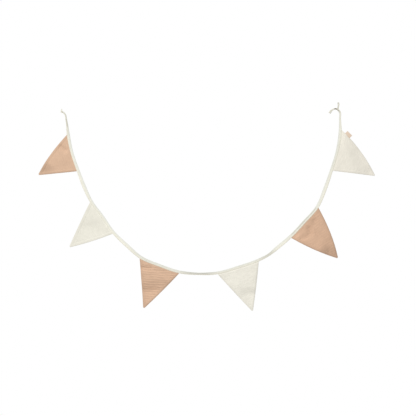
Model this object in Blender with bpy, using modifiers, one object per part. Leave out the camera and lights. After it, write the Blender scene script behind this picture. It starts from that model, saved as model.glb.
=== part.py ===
"""Fabric bunting: six triangular cloth pennants sewn into one folded tape, hung in a swag by knotted ends.

Metres, +Z up. The bunting hangs in the XZ plane and faces -Y. The origin is the middle of the left knot,
where the bunting hangs, and +X runs to the right knot.
"""
import math

import bmesh
import bpy
import numpy as np
from mathutils import Vector

# Cloth thicknesses and the gaps between layers
TAPE_LEAF = 0.0011        # one leaf of the folded tape
TAPE_GAP = 0.0008         # between the two leaves where nothing lies between them
PENNANT_GAP = 0.0026      # between the two leaves where they hold a pennant
PENNANT_HEM = 0.0026      # a pennant along its turned seams
PENNANT_MIDDLE = 0.0019   # a pennant inside its seams
LABEL_LEAF = 0.0010
LABEL_GAP = 0.0004

# Pennants
SEAM_WIDTH = 0.0105       # the turned seam inside each free side
SEAM_STEP = 0.0015        # over which the cloth thins beside the seam
INSERT = 0.0075           # how far a pennant reaches up into the tape
TIP_WIDTH = 0.0075        # of the blunt tip
TIP_ROUND = 0.0022        # length of the tip's rounded end
TIP_END_SHARE = 0.5       # of the tip's width that is left at its very end
SEAM_SHARE = 0.30         # the most of a row's width that one seam takes, near the tip
FOLD_START = 0.10         # share of the height over which folds fade in below the tape
EDGE_BEVEL = 0.0005
EDGE_ANGLE = 50           # degrees, from which an edge is bevelled

# Steps of the meshes
TAPE_STEP = 0.0080
TIE_STEP = 0.0050         # near the knots and along the short ends, where the tape bends most
PENNANT_TAPE_STEP = 0.0135
MOUTH_LENGTH = 0.008      # over which the tape opens beside a pennant
MOUTH_MARGIN = 0.0012     # how far the tape stays open past a pennant's corner
PENNANT_ROWS = 11
PENNANT_MIDDLE_COLUMNS = 4
KNOT_SEGMENTS = 14
KNOT_RINGS = 8
NUDGE = 0.0005            # to each side of a point on a route, for its direction

# The tape from knot to knot, a row for each corner, middle and gap:
# place, x, y, z of the middle of its width, its folded width, and its roll in degrees
TAPE = (
    ("left knot", 0.0012, 0.0000, -0.0008, 0.0066, 0),
    ("left bend", 0.0118, -0.0006, -0.0086, 0.0062, 0),
    ("left tie", 0.0198, -0.0012, -0.0384, 0.0066, 0),
    ("pennant 1 top", 0.0268, -0.0010, -0.0928, 0.0118, 0),
    ("pennant 1 middle", 0.0408, -0.0004, -0.1624, 0.0112, 2),
    ("pennant 1 foot", 0.0664, 0.0000, -0.2376, 0.0120, 4),
    ("between 1 and 2", 0.0892, 0.0010, -0.2984, 0.0145, 0),
    ("pennant 2 top", 0.1186, 0.0014, -0.3599, 0.0122, 3),
    ("pennant 2 middle", 0.1631, 0.0004, -0.4202, 0.0116, 4),
    ("pennant 2 foot", 0.2089, -0.0010, -0.4856, 0.0122, 2),
    ("between 2 and 3", 0.2600, -0.0022, -0.5352, 0.0145, -6),
    ("pennant 3 left", 0.3156, -0.0024, -0.5829, 0.0126, 2),
    ("pennant 3 middle", 0.3944, -0.0012, -0.6168, 0.0112, 5),
    ("pennant 3 right", 0.4716, 0.0004, -0.6420, 0.0118, 12),
    ("between 3 and 4", 0.5456, 0.0016, -0.6494, 0.0140, 50),
    ("pennant 4 left", 0.6232, 0.0010, -0.6458, 0.0112, 12),
    ("pennant 4 middle", 0.7056, 0.0000, -0.6230, 0.0112, 5),
    ("pennant 4 right", 0.7866, -0.0008, -0.5948, 0.0116, 8),
    ("twist", 0.8268, -0.0012, -0.5741, 0.0122, 30),
    ("between 4 and 5", 0.8640, -0.0010, -0.5441, 0.0145, 4),
    ("pennant 5 foot", 0.9142, 0.0000, -0.5013, 0.0134, 3),
    ("pennant 5 middle", 0.9706, 0.0010, -0.4414, 0.0130, 5),
    ("pennant 5 top", 1.0223, 0.0014, -0.3822, 0.0128, 2),
    ("between 5 and 6", 1.0557, 0.0006, -0.3043, 0.0145, -4),
    ("pennant 6 foot", 1.0792, -0.0006, -0.2356, 0.0122, 2),
    ("pennant 6 middle", 1.1029, -0.0012, -0.1564, 0.0116, 4),
    ("pennant 6 top", 1.1143, -0.0012, -0.0742, 0.0120, 0),
    ("right tie", 1.1134, -0.0006, -0.0304, 0.0076, 0),
    ("right bend", 1.1120, -0.0002, -0.0016, 0.0078, 0),
    ("right knot", 1.1046, 0.0000, 0.0076, 0.0068, 0),
)

# The short ends of the tape beyond its knots, with the same columns
LEFT_END = (
    ("in the knot", -0.0004, -0.0010, 0.0010, 0.0050, 20),
    ("tip", 0.0004, -0.0016, 0.0098, 0.0046, 10),
)
RIGHT_END_UP = (
    ("in the knot", 1.1044, 0.0010, 0.0096, 0.0056, 10),
    ("rise", 1.1070, 0.0012, 0.0200, 0.0064, 0),
    ("bend", 1.1078, 0.0004, 0.0280, 0.0070, -6),
    ("tip", 1.1062, -0.0006, 0.0356, 0.0070, -10),
)
RIGHT_END_DOWN = (
    ("in the knot", 1.1024, -0.0012, 0.0094, 0.0056, 20),
    ("arch", 1.0924, -0.0030, 0.0098, 0.0048, 30),
    ("shoulder", 1.0838, -0.0042, 0.0064, 0.0058, 15),
    ("spread", 1.0768, -0.0046, 0.0002, 0.0086, 0),
    ("tip", 1.0714, -0.0044, -0.0074, 0.0100, 0),
)

# The turns of each knot: x, y, z, the three half sizes, and the turn's slant in degrees
KNOT_TURNS = (
    (-0.0006, 0.0000, 0.0002, 0.0052, 0.0044, 0.0030, 38),
    (0.0008, -0.0006, -0.0012, 0.0030, 0.0046, 0.0054, 24),
    (1.1028, 0.0000, 0.0086, 0.0058, 0.0045, 0.0032, 14),
    (1.1050, -0.0004, 0.0084, 0.0032, 0.0047, 0.0054, -22),
)

# Each pennant: where its top edge starts and ends on the tape, the x and z of its tip, how far the tip
# stands back, how far its first and last sides bow out, and its colour
PENNANTS = (
    ("pennant_1", "pennant 1 top", "pennant 1 foot", -0.0944, -0.2516, 0.010, 0.0056, 0.0004, "pink"),
    ("pennant_2", "pennant 2 top", "pennant 2 foot", 0.0324, -0.5414, 0.010, 0.0012, 0.0030, "white"),
    ("pennant_3", "pennant 3 left", "pennant 3 right", 0.3284, -0.7864, 0.008, -0.0006, 0.0018, "pink"),
    ("pennant_4", "pennant 4 left", "pennant 4 right", 0.7636, -0.7980, 0.012, 0.0004, 0.0012, "white"),
    ("pennant_5", "pennant 5 foot", "pennant 5 top", 1.1064, -0.5864, 0.008, 0.0056, 0.0070, "pink"),
    ("pennant_6", "pennant 6 foot", "pennant 6 top", 1.2540, -0.2552, 0.014, 0.0000, 0.0098, "white"),
)

# The soft folds: the pennant, the two ends of the fold's line as shares across and down the pennant,
# how far it reaches above and below its line, and how far it stands back (below zero, forward)
FOLDS = (
    ("pennant_1", 0.50, 0.10, 0.45, 0.50, 0.038, 0.038, -0.0016),
    ("pennant_1", 1.00, 0.82, 1.00, 1.00, 0.050, 0.050, 0.0135),
    ("pennant_1", 0.50, 1.00, 0.50, 0.98, 0.060, 0.060, 0.0080),
    ("pennant_2", 0.34, 0.42, 0.58, 0.27, 0.032, 0.060, 0.0036),
    ("pennant_3", 0.10, 0.26, 0.95, 0.22, 0.030, 0.030, -0.0020),
    ("pennant_3", 0.12, 0.655, 0.58, 0.565, 0.044, 0.050, 0.0112),
    ("pennant_3", 0.62, 0.56, 0.95, 0.46, 0.022, 0.030, 0.0022),
    ("pennant_3", 1.00, 0.90, 1.00, 1.00, 0.060, 0.060, 0.0060),
    ("pennant_4", 0.00, 0.36, 0.20, 0.38, 0.036, 0.036, -0.0026),
    ("pennant_4", 0.15, 0.24, 0.70, 0.30, 0.036, 0.036, -0.0014),
    ("pennant_4", 0.60, 0.63, 1.00, 0.68, 0.032, 0.060, 0.0072),
    ("pennant_4", 0.50, 1.06, 0.50, 1.04, 0.064, 0.064, 0.0070),
    ("pennant_5", 0.00, 0.20, 0.00, 0.60, 0.058, 0.034, -0.0116),
    ("pennant_5", 0.00, 0.84, 0.00, 1.00, 0.050, 0.050, 0.0080),
    ("pennant_5", 1.00, 0.80, 1.00, 1.00, 0.064, 0.064, 0.0080),
    ("pennant_5", 0.50, 1.22, 0.50, 1.20, 0.095, 0.095, 0.0230),
    ("pennant_6", 0.92, 0.08, 0.12, 0.46, 0.046, 0.046, -0.0034),
    ("pennant_6", 0.45, 0.80, 0.75, 0.45, 0.036, 0.044, 0.0028),
    ("pennant_6", 0.50, 1.00, 0.50, 0.98, 0.050, 0.050, 0.0050),
)

# The label in the seam of pennant_6's upper side
LABEL_WIDTH = 0.0262
LABEL_LENGTH = 0.0124
LABEL_DOWN = 0.144        # share of the side's length at the label's middle
LABEL_CLEARANCE = 0.0009  # from the side's edge, which bows a little across the label
LABEL_STEPS = 3

COLOURS = {
    "pink": (0.835, 0.706, 0.592),
    "white": (0.918, 0.906, 0.855),
    "tape": (0.925, 0.918, 0.863),
    "label": (0.894, 0.835, 0.765),
}
ROUGHNESS = {"pink": 0.92, "white": 0.92, "tape": 0.90, "label": 0.75}


def smooth(value):
    """Ease from 0 to 1 as value goes from 0 to 1."""
    value = min(max(value, 0.0), 1.0)
    return value * value * (3.0 - 2.0 * value)


def linear(channel):
    """The linear value of an sRGB channel."""
    return channel / 12.92 if channel <= 0.04045 else ((channel + 0.055) / 1.055) ** 2.4


class Route:
    """A smooth curve through the rows of a table, with the width and roll that go with each point."""

    def __init__(self, table):
        self.places = [row[0] for row in table]
        self.values = np.array([row[1:] for row in table], dtype=float)
        steps = np.linalg.norm(np.diff(self.values[:, :3], axis=0), axis=1)
        self.at = np.concatenate(([0.0], np.cumsum(steps)))
        slopes = np.diff(self.values, axis=0) / steps[:, None]
        self.slopes = np.empty_like(self.values)
        self.slopes[0] = slopes[0]
        self.slopes[-1] = slopes[-1]
        before = steps[:-1, None]
        after = steps[1:, None]
        self.slopes[1:-1] = (slopes[:-1] * after + slopes[1:] * before) / (before + after)

    def place(self, name):
        """How far along the route the named row is."""
        return self.at[self.places.index(name)]

    def row(self, distance):
        """x, y, z, width and roll at a distance along the route."""
        i = int(np.clip(np.searchsorted(self.at, distance) - 1, 0, len(self.at) - 2))
        span = self.at[i + 1] - self.at[i]
        t = (distance - self.at[i]) / span
        start_part = 2 * t**3 - 3 * t**2 + 1
        start_slope = t**3 - 2 * t**2 + t
        end_slope = t**3 - t**2
        return (start_part * self.values[i] + (1 - start_part) * self.values[i + 1]
                + span * (start_slope * self.slopes[i] + end_slope * self.slopes[i + 1]))

    def frame(self, distance):
        """The middle of the tape, the way to its open edge, the way to its back, and its width."""
        here = self.row(distance)
        ahead = self.row(min(distance + NUDGE, self.at[-1]))
        behind = self.row(max(distance - NUDGE, 0.0))
        along = Vector((ahead[0] - behind[0], 0.0, ahead[2] - behind[2])).normalized()
        outward = Vector((along.z, 0.0, -along.x))
        back = Vector((0.0, 1.0, 0.0))
        roll = math.radians(here[4])
        across = outward * math.cos(roll) + back * math.sin(roll)
        facing_back = back * math.cos(roll) - outward * math.sin(roll)
        return Vector(here[:3]), across, facing_back, here[3]

    def open_edge(self, distance):
        """The point on the tape's open edge, and the way that the tape faces there."""
        middle, across, _, width = self.frame(distance)
        return middle + across * (width / 2), across


def fold_section(half_width, leaf, gap):
    """Half of a folded strip's section, from its open edge to its fold, as places across and forward."""
    layer = (gap + leaf) / 2
    turn = layer + leaf / 2
    return (
        (half_width, layer),
        (0.0, layer),
        (turn - half_width, layer),
        (0.5 * leaf - half_width, 0.0),
    )


def material(name):
    """A plain cloth finish in one of the bunting's colours."""
    finish = bpy.data.materials.new(name)
    finish.use_nodes = True
    shader = finish.node_tree.nodes["Principled BSDF"]
    shader.inputs["Base Color"].default_value = (*(linear(channel) for channel in COLOURS[name]), 1.0)
    shader.inputs["Roughness"].default_value = ROUGHNESS[name]
    shader.inputs["Metallic"].default_value = 0.0
    return finish


def collection(name):
    """A new collection in the scene."""
    group = bpy.data.collections.new(name)
    bpy.context.scene.collection.children.link(group)
    return group


def add_object(name, bm, group, finish):
    """An object with a name, a mesh, a finish and a collection."""
    mesh = bpy.data.meshes.new(name)
    bm.to_mesh(mesh)
    bm.free()
    mesh.materials.append(finish)
    mesh.shade_smooth()
    obj = bpy.data.objects.new(name, mesh)
    group.objects.link(obj)
    return obj


def sheet(name, columns, rows, place, thickness, group, finish, full=None, thin_share=1.0):
    """A grid of cloth whose point in each column and row is given by place, made solid.

    full(column, row) says which points have the full thickness; the others have thin_share of it.
    """
    bm = bmesh.new()
    bmesh.ops.create_grid(bm, x_segments=columns, y_segments=rows, size=1.0)
    spots = [(round((v.co.x + 1) / 2 * columns), round((v.co.y + 1) / 2 * rows)) for v in bm.verts]
    for vertex, (column, row) in zip(bm.verts, spots):
        vertex.co = place(column, row)
    obj = add_object(name, bm, group, finish)
    solid = obj.modifiers.new("thickness", "SOLIDIFY")
    solid.thickness = thickness
    solid.offset = 0.0
    solid.use_even_offset = True
    if full:
        seam = obj.vertex_groups.new(name="seam")
        seam.add([i for i, spot in enumerate(spots) if full(*spot)], 1.0, "REPLACE")
        solid.vertex_group = seam.name
        solid.thickness_vertex_group = thin_share
    return obj


def evenly(start, end, step):
    """Distances from start up to but not including end, no further apart than step."""
    count = max(1, math.ceil((end - start) / step))
    return [start + (end - start) * i / count for i in range(count)]


def tape_distances(route, spans):
    """The distances of the tape's rings, which include each pennant's corners and the mouths beside them."""
    marks = [(0.0, TIE_STEP), (route.place("left tie"), TAPE_STEP)]
    for start, end in spans:
        marks += [
            (start - MOUTH_MARGIN - MOUTH_LENGTH, MOUTH_LENGTH / 2),
            (start - MOUTH_MARGIN, PENNANT_TAPE_STEP),
            (end + MOUTH_MARGIN, MOUTH_LENGTH / 2),
            (end + MOUTH_MARGIN + MOUTH_LENGTH, TAPE_STEP),
        ]
    marks += [(route.place("right tie"), TIE_STEP), (route.at[-1], TIE_STEP)]
    distances = []
    for (start, step), (end, _) in zip(marks, marks[1:]):
        distances += evenly(start, end, step)
    return distances + [route.at[-1]]


def leaf_gap(distance, spans):
    """The gap between the tape's leaves, wide where they hold a pennant."""
    opening = 0.0
    for start, end in spans:
        outside = max(start - distance, distance - end) - MOUTH_MARGIN
        opening = max(opening, 1.0 - smooth(outside / MOUTH_LENGTH))
    return TAPE_GAP + (PENNANT_GAP - TAPE_GAP) * opening


def folded_strip(name, route, distances, spans, group, finish):
    """Tape folded in half lengthwise along a route."""

    def place(column, row):
        middle, across, facing_back, width = route.frame(distances[row])
        half = fold_section(width / 2, TAPE_LEAF, leaf_gap(distances[row], spans))
        last = len(half) - 1
        side = -1.0 if column <= last else 1.0
        reach, forward = half[last - abs(last - column)]
        return middle + across * reach + facing_back * (side * forward)

    columns = 2 * (len(fold_section(1.0, TAPE_LEAF, TAPE_GAP)) - 1)
    return sheet(name, columns, len(distances) - 1, place, TAPE_LEAF, group, finish)


def knot_turn(name, x, y, z, half_x, half_y, half_z, slant, group, finish):
    """One turn of a knot, a rounded lump."""
    bm = bmesh.new()
    bmesh.ops.create_uvsphere(bm, u_segments=KNOT_SEGMENTS, v_segments=KNOT_RINGS, radius=1.0)
    bmesh.ops.scale(bm, vec=(half_x, half_y, half_z), verts=bm.verts)
    turn = add_object(name, bm, group, finish)
    turn.location = (x, y, z)
    turn.rotation_euler = (0.0, math.radians(slant), 0.0)
    return turn


def weld(target, pieces):
    """Make the pieces one solid with the target, and leave them as guides."""
    for piece in pieces:
        union = target.modifiers.new("join " + piece.name, "BOOLEAN")
        union.operation = "UNION"
        union.object = piece
        piece.hide_render = True
        piece.display_type = "WIRE"


def make_tape(route, spans, group, guides):
    """The whole tape in one solid: its run from knot to knot, the turns of its knots and its short ends."""
    finish = material("tape")
    tape = folded_strip("tape", route, tape_distances(route, spans), spans, group, finish)
    pieces = [
        knot_turn(f"knot_turn_{i}", *turn, guides, finish)
        for i, turn in enumerate(KNOT_TURNS, 1)
    ]
    ends = (("left_end", LEFT_END), ("right_end_up", RIGHT_END_UP), ("right_end_down", RIGHT_END_DOWN))
    for name, table in ends:
        end = Route(table)
        distances = evenly(0.0, end.at[-1], TIE_STEP) + [end.at[-1]]
        pieces.append(folded_strip(name, end, distances, (), guides, finish))
    weld(tape, pieces)
    return tape


class Pennant:
    """The surface of one pennant, read by its share across and its share down."""

    def __init__(self, route, row):
        self.name, first, last, tip_x, tip_z, self.tip_back, self.first_bow, self.last_bow, self.colour = row
        self.route = route
        self.start = route.place(first)
        self.end = route.place(last)
        self.tip = Vector((tip_x, 0.0, tip_z))
        corners = [self.flat(route.open_edge(distance)[0]) for distance in (self.start, self.end)]
        along = (corners[1] - corners[0]).normalized()
        middle = (corners[0] + corners[1]) / 2
        inward = (middle - self.tip).normalized()
        blunt = self.tip + inward * TIP_ROUND
        self.corners = corners
        self.tip_ends = (blunt - along * (TIP_WIDTH / 2), blunt + along * (TIP_WIDTH / 2))
        self.outs = []
        for corner, end, way in zip(self.corners, self.tip_ends, (-1, 1)):
            side = (end - corner).normalized()
            out = Vector((side.z, 0.0, -side.x))
            self.outs.append(out if out.dot(along) * way > 0 else -out)
        self.folds = [fold[1:] for fold in FOLDS if fold[0] == self.name]

    @staticmethod
    def flat(point):
        """The point moved into the XZ plane."""
        return Vector((point.x, 0.0, point.z))

    def side(self, which, down):
        """A point on the first or last free side."""
        bow = (self.first_bow, self.last_bow)[which]
        straight = self.corners[which].lerp(self.tip_ends[which], down)
        return straight + self.outs[which] * (bow * 4 * down * (1 - down))

    def top(self, across):
        """A point on the tape's open edge above the pennant, and the way that the tape faces there."""
        return self.route.open_edge(self.start + (self.end - self.start) * across)

    def outline(self, across, down):
        """A point of the pennant before its depth, in the XZ plane."""
        straight = self.side(0, down).lerp(self.side(1, down), across)
        edge = self.flat(self.top(across)[0])
        return straight + (edge - self.corners[0].lerp(self.corners[1], across)) * (1 - down)

    def hang(self, across, down):
        """How far back the cloth hangs: it leaves the tape straight and curves to its tip."""
        edge, way = self.top(across)
        height = (self.flat(edge) - self.tip).length
        flat_way = math.hypot(way.x, way.z)
        leaving = height * way.y / flat_way
        arriving = self.tip_back - edge.y
        start_part = 2 * down**3 - 3 * down**2 + 1
        return (start_part * edge.y + (1 - start_part) * self.tip_back
                + (down**3 - 2 * down**2 + down) * leaving + (down**3 - down**2) * arriving)

    def fold_depth(self, across, down):
        """The sum of the pennant's folds at a point."""
        point = self.outline(across, down)
        depth = 0.0
        for from_across, from_down, to_across, to_down, above, below, fold in self.folds:
            start = self.outline(from_across, from_down)
            line = self.outline(to_across, to_down) - start
            share = min(max((point - start).dot(line) / line.length_squared, 0.0), 1.0)
            offset = point - start - line * share
            upward = offset.normalized().z
            reach = (above + below) / 2 + (above - below) / 2 * upward
            depth += fold * (1.0 - smooth(offset.length / reach))
        return depth * smooth(down / FOLD_START)

    def point(self, across, down):
        """A point on the middle of the cloth."""
        spot = self.outline(across, down)
        spot.y = self.hang(across, down) + self.fold_depth(across, down)
        return spot

    def inserted(self, across, depth):
        """A point on the strip that lies inside the tape."""
        edge, way = self.top(across)
        return edge - way * depth

    def shares_across(self, down):
        """The columns of a row: its edge, both sides of its seam's inner line, and the cloth between."""
        width = (self.side(1, down) - self.side(0, down)).length
        seam = min(SEAM_WIDTH / width, SEAM_SHARE)
        step = min(SEAM_STEP / width, SEAM_SHARE / 4)
        inner = seam + step
        steps = PENNANT_MIDDLE_COLUMNS + 1
        middle = [inner + (1 - 2 * inner) * i / steps for i in range(steps + 1)]
        return [0.0, seam] + middle + [1 - seam, 1.0]


def make_pennant(route, row, group, finish):
    """One pennant: a sheet with its top edge in the tape, thicker along its turned seams."""
    pennant = Pennant(route, row)
    last_column = len(pennant.shares_across(0.0)) - 1
    in_tape = (INSERT, INSERT / 2)
    downs = [i / PENNANT_ROWS for i in range(PENNANT_ROWS + 1)]
    tip_row = len(in_tape) + len(downs)
    drop = (pennant.tip_ends[0] + pennant.tip_ends[1]) / 2
    tip_way = (pennant.tip - drop).normalized()

    def place(column, row_number):
        if row_number < len(in_tape):
            across = pennant.shares_across(0.0)[column]
            return pennant.inserted(across, in_tape[row_number])
        if row_number < tip_row:
            down = downs[row_number - len(in_tape)]
            return pennant.point(pennant.shares_across(down)[column], down)
        across = pennant.shares_across(1.0)[column]
        narrowed = 0.5 + (across - 0.5) * TIP_END_SHARE
        return pennant.point(narrowed, 1.0) + tip_way * TIP_ROUND

    def full(column, row_number):
        on_seam = column <= 1 or column >= last_column - 1
        return on_seam and row_number > len(in_tape) + 1

    obj = sheet(pennant.name, last_column, tip_row, place, PENNANT_HEM, group, finish, full,
                PENNANT_MIDDLE / PENNANT_HEM)
    bevel = obj.modifiers.new("soft edge", "BEVEL")
    bevel.width = EDGE_BEVEL
    bevel.segments = 1
    bevel.limit_method = "ANGLE"
    bevel.angle_limit = math.radians(EDGE_ANGLE)
    return pennant


def make_label(pennant, group):
    """A bare ribbon label folded in half, its cut ends at the pennant's upper side."""
    middle = pennant.side(1, LABEL_DOWN)
    reach = LABEL_WIDTH / 2 / (pennant.tip_ends[1] - pennant.corners[1]).length
    along = (pennant.side(1, LABEL_DOWN + reach) - pennant.side(1, LABEL_DOWN - reach)).normalized()
    out = Vector((along.z, 0.0, -along.x))
    if out.dot(pennant.outs[1]) < 0:
        out = -out
    back = Vector((0.0, 1.0, 0.0))
    depth = pennant.point(1.0, LABEL_DOWN).y
    centre = middle + out * (LABEL_CLEARANCE + LABEL_LENGTH / 2) + back * depth
    half = fold_section(LABEL_LENGTH / 2, LABEL_LEAF, LABEL_GAP)
    last = len(half) - 1

    def place(column, row):
        side = -1.0 if column <= last else 1.0
        reach_out, forward = half[last - abs(last - column)]
        slide = LABEL_WIDTH * (row / LABEL_STEPS - 0.5)
        return centre - out * reach_out + back * (side * forward) + along * slide

    sheet("label", 2 * last, LABEL_STEPS, place, LABEL_LEAF, group, material("label"))


def main():
    """Build the whole bunting."""
    for obj in list(bpy.data.objects):
        bpy.data.objects.remove(obj, do_unlink=True)
    group = collection("fabric_bunting")
    guides = collection("guides")
    route = Route(TAPE)
    spans = [(route.place(row[1]), route.place(row[2])) for row in PENNANTS]
    make_tape(route, spans, group, guides)
    finishes = {colour: material(colour) for colour in ("pink", "white")}
    for row in PENNANTS:
        pennant = make_pennant(route, row, group, finishes[row[-1]])
    make_label(pennant, group)


main()
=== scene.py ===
"""Looks of the fabric bunting: crinkled cotton pennants, a folded stitched tape, knots and a label.

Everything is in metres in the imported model's frame, and the tables and curves repeat the part's own.
"""
import math

import bpy
import numpy as np
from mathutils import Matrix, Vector, noise


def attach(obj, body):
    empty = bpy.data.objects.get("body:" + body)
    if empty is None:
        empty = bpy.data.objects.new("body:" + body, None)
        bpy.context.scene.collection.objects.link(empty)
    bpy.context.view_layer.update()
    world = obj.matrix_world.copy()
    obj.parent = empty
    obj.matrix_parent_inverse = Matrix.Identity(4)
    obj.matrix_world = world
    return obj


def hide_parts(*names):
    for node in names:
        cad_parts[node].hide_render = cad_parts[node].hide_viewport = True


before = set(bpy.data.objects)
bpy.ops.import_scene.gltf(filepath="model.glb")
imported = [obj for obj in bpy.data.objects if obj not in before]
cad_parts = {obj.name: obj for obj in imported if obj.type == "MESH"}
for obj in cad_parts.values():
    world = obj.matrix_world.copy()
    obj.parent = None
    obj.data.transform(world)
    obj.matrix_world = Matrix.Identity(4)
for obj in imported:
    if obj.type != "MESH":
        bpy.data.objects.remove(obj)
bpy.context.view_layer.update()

# Photo frame: the middle of the view and its width at the bunting
VIEW_MIDDLE = (0.5856, -0.3864)
VIEW_WIDTH = 1.664
CAMERA_AWAY = 8.0
CAMERA_REACH = 60.0
SENSOR = 36.0

# The lights: name, place, size and watts, and how strongly the surround lights the cloth
LIGHTS = (
    ("key", (-1.4, -4.7, 4.6), 2.6, 340.0),
    ("fill", (2.6, 6.0, 1.8), 3.0, 180.0),
)
SURROUND_LIGHT = 0.50

# The floor: its middle, how far out it starts to fade and where it has faded away, and its look
FLOOR_MIDDLE = (0.58, -0.60, -1.70)
FLOOR_CLEAR = 1.6
FLOOR_END = 3.6
FLOOR_COLOUR = (0.86, 0.855, 0.84, 1.0)
FLOOR_MOTTLE = 1.2

# Cloth thicknesses and the gaps between layers, within the solids
TAPE_LEAF = 0.0005
TAPE_GAP = 0.0011
PENNANT_GAP = 0.0017
PENNANT_HEM = 0.0026
PENNANT_MIDDLE = 0.0019
INSERT_SHARE = 0.80  # of a pennant's thickness, in the tape
LABEL_LEAF = 0.0007
LABEL_GAP = 0.0003

SEAM_WIDTH = 0.0105
INSERT = 0.0070  # how far a pennant reaches into the tape
TIP_WIDTH = 0.0075
TIP_ROUND = 0.0022
TIP_END_SHARE = 0.5
FOLD_START = 0.10
MOUTH_LENGTH = 0.008  # along the tape, over which its leaves open
MOUTH_MARGIN = 0.0012
NUDGE = 0.0005  # step along a curve that gives its direction

# The tape from knot to knot: place (a number is a pennant's), x, y, z of the middle of its width, folded
# width, roll, and painted shade: zero where it lies flat and open, less where painted darker, None where
# not set
TAPE = (
    ("left knot", 0.0012, 0.0000, -0.0008, 0.0066, 0, -1.8),
    ("left bend", 0.0118, -0.0006, -0.0086, 0.0062, 0, -1.4),
    ("left tie", 0.0198, -0.0012, -0.0384, 0.0066, 0, -1.9),
    ("1 top", 0.0268, -0.0010, -0.0928, 0.0118, 0, -1.3),
    ("1 middle", 0.0408, -0.0004, -0.1624, 0.0112, 2, -0.6),
    ("1 foot", 0.0664, 0.0000, -0.2376, 0.0120, 4, 0.3),
    ("1 to 2", 0.0892, 0.0010, -0.2984, 0.0145, 0, 1.0),
    ("2 top", 0.1186, 0.0014, -0.3599, 0.0122, 3, 0.0),
    ("2 middle", 0.1631, 0.0004, -0.4202, 0.0116, 4, 0.2),
    ("2 foot", 0.2089, -0.0010, -0.4856, 0.0122, 2, None),
    ("2 to 3", 0.2600, -0.0022, -0.5352, 0.0145, -6, 1.3),
    ("3 left", 0.3156, -0.0024, -0.5829, 0.0126, 2, -0.9),
    ("3 middle", 0.3944, -0.0012, -0.6168, 0.0112, 5, -0.4),
    ("3 right", 0.4716, 0.0004, -0.6420, 0.0118, 12, 0.3),
    ("3 to 4", 0.5456, 0.0016, -0.6494, 0.0140, 50, 0.9),
    ("4 left", 0.6232, 0.0010, -0.6458, 0.0112, 12, 0.3),
    ("4 middle", 0.7056, 0.0000, -0.6230, 0.0112, 5, 0.8),
    ("4 right", 0.7866, -0.0008, -0.5948, 0.0116, 8, 0.5),
    ("twist", 0.8268, -0.0012, -0.5741, 0.0122, 30, 1.8),
    ("4 to 5", 0.8640, -0.0010, -0.5441, 0.0145, 4, 2.6),
    ("5 foot", 0.9142, 0.0000, -0.5013, 0.0134, 3, 1.7),
    ("5 middle", 0.9706, 0.0010, -0.4414, 0.0130, 5, None),
    ("5 top", 1.0223, 0.0014, -0.3822, 0.0128, 2, 1.4),
    ("5 to 6", 1.0557, 0.0006, -0.3043, 0.0145, -4, 1.0),
    ("6 foot", 1.0792, -0.0006, -0.2356, 0.0122, 2, 0.4),
    ("6 middle", 1.1029, -0.0012, -0.1564, 0.0116, 4, 0.2),
    ("6 top", 1.1143, -0.0012, -0.0742, 0.0120, 0, 0.2),
    ("right tie", 1.1134, -0.0006, -0.0304, 0.0076, 0, 0.0),
    ("right bend", 1.1120, -0.0002, -0.0016, 0.0078, 0, -1.2),
    ("right knot", 1.1046, 0.0000, 0.0076, 0.0068, 0, -2.6),
)

# The short ends of the tape beyond its knots: the same columns but the last, then the painted shades by
# distance
ENDS = {
    "tape_left_end": ((
        ("in the knot", -0.0004, -0.0010, 0.0010, 0.0050, 20),
        ("tip", 0.0004, -0.0016, 0.0098, 0.0046, 10),
    ), ((0.0, 0.0), (0.0090, 0.4))),
    "tape_right_end_up": ((
        ("in the knot", 1.1044, 0.0010, 0.0096, 0.0056, 10),
        ("rise", 1.1070, 0.0012, 0.0200, 0.0064, 0),
        ("bend", 1.1078, 0.0004, 0.0280, 0.0070, -6),
        ("tip", 1.1062, -0.0006, 0.0356, 0.0070, -10),
    ), ((0.0, -1.8), (0.0180, -1.0), (0.0270, -2.0))),
    "tape_right_end_down": ((
        ("in the knot", 1.1024, -0.0012, 0.0094, 0.0056, 20),
        ("arch", 1.0924, -0.0030, 0.0098, 0.0048, 30),
        ("shoulder", 1.0838, -0.0042, 0.0064, 0.0058, 15),
        ("spread", 1.0768, -0.0046, 0.0002, 0.0086, 0),
        ("tip", 1.0714, -0.0044, -0.0074, 0.0100, 0),
    ), ((0.0, -5.4), (0.0040, -6.0), (0.0085, -6.0), (0.0150, -1.6), (0.0400, -1.0))),
}

# Each knot: its middle, the half width, depth and height of its line, its slant, its strand's half sizes
# and its painted shade on the tape's scale
KNOTS = (
    ("knot_left", (0.0000, -0.0002, -0.0004), (0.0033, 0.0023, 0.0034), 36, (0.0017, 0.0011), -0.3),
    ("knot_right", (1.1038, -0.0002, 0.0084), (0.0034, 0.0024, 0.0034), -14, (0.0017, 0.0011), -1.9),
)

# Each pennant: its number, where its top edge starts and ends on the tape, the x and z of its tip, how far
# the tip stands back, how far its first and last sides bow out, and its colour
PENNANTS = (
    (1, "1 top", "1 foot", -0.0944, -0.2516, 0.010, 0.0056, 0.0004, "pink"),
    (2, "2 top", "2 foot", 0.0324, -0.5414, 0.010, 0.0012, 0.0030, "white"),
    (3, "3 left", "3 right", 0.3284, -0.7864, 0.008, -0.0006, 0.0018, "pink"),
    (4, "4 left", "4 right", 0.7636, -0.7980, 0.012, 0.0004, 0.0012, "white"),
    (5, "5 foot", "5 top", 1.1064, -0.5864, 0.008, 0.0056, 0.0070, "pink"),
    (6, "6 foot", "6 top", 1.2540, -0.2552, 0.014, 0.0000, 0.0098, "white"),
)

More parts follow.
